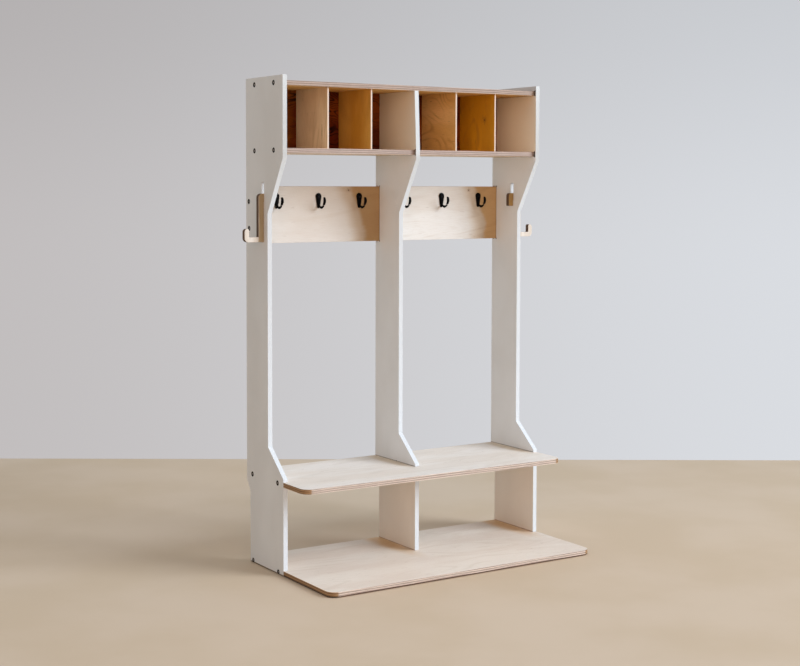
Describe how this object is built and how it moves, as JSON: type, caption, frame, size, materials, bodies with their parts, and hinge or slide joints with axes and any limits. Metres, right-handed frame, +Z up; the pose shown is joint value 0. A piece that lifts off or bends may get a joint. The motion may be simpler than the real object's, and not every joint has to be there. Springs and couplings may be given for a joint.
{
  "type": "mudroom locker unit",
  "caption": "Open plywood mudroom unit with white-faced panels, a row of cubbies, hook boards with black coat hooks, a bench, a base board and lift-out side hooks.",
  "frame": {"origin": "on the floor, under the middle of the unit's bounding box", "axes": "+Z up, +Y towards the wall, +X to the right as seen from in front"},
  "size_m": [1.324, 0.636, 1.82],
  "materials": {
    "white_laminate": "satin white laminate faces and edges on birch plywood",
    "birch_ply": "matt clear-coated birch plywood with striped ply edges",
    "black_metal": "satin black",
    "zinc_steel": "dull zinc plate"
  },
  "bodies": {
    "unit": {"base_board": "birch_ply", "bench_board": "birch_ply", "left_base_screw_1": "zinc_steel", "left_base_screw_2": "zinc_steel", "left_bench_screw_1": "zinc_steel", "left_bench_screw_2": "zinc_steel", "left_coat_hook_1": "black_metal", "left_coat_hook_2": "black_metal", "left_coat_hook_3": "black_metal", "left_coat_hook_screw_1": "zinc_steel", "left_coat_hook_screw_2": "zinc_steel", "left_coat_hook_screw_3": "zinc_steel", "left_cubby_back": "birch_ply", "left_cubby_divider_1": "birch_ply", "left_cubby_divider_2": "birch_ply", "left_hook_board": "birch_ply", "left_hook_board_screw_1": "zinc_steel", "left_hook_board_screw_2": "zinc_steel", "left_lower_shelf": "birch_ply", "left_shelf_screw_1": "zinc_steel", "left_shelf_screw_2": "zinc_steel", "left_side_panel": "white_laminate", "left_top_board_screw_1": "zinc_steel", "left_top_board_screw_2": "zinc_steel", "middle_panel": "white_laminate", "middle_panel_screw_1": "zinc_steel", "middle_panel_screw_2": "zinc_steel", "middle_panel_screw_3": "zinc_steel", "middle_panel_screw_4": "zinc_steel", "right_base_screw_1": "zinc_steel", "right_base_screw_2": "zinc_steel", "right_bench_screw_1": "zinc_steel", "right_bench_screw_2": "zinc_steel", "right_coat_hook_1": "black_metal", "right_coat_hook_2": "black_metal", "right_coat_hook_3": "black_metal", "right_coat_hook_screw_1": "zinc_steel", "right_coat_hook_screw_2": "zinc_steel", "right_coat_hook_screw_3": "zinc_steel", "right_cubby_back": "birch_ply", "right_cubby_divider_1": "birch_ply", "right_cubby_divider_2": "birch_ply", "right_hook_board": "birch_ply", "right_hook_board_screw_1": "zinc_steel", "right_hook_board_screw_2": "zinc_steel", "right_lower_shelf": "birch_ply", "right_shelf_screw_1": "zinc_steel", "right_shelf_screw_2": "zinc_steel", "right_side_panel": "white_laminate", "right_top_board_screw_1": "zinc_steel", "right_top_board_screw_2": "zinc_steel", "top_board": "birch_ply"},
    "left_hanger": {"left_side_hook": "birch_ply"},
    "right_hanger": {"right_side_hook": "birch_ply"}
  },
  "joints": [
    {"name": "left_hook_lift", "type": "slide", "parent": "unit", "child": "left_hanger", "axis": [0, 0, 1], "range_m": [0, 0.04]},
    {"name": "right_hook_lift", "type": "slide", "parent": "unit", "child": "right_hanger", "axis": [0, 0, 1], "range_m": [0, 0.04]}
  ]
}
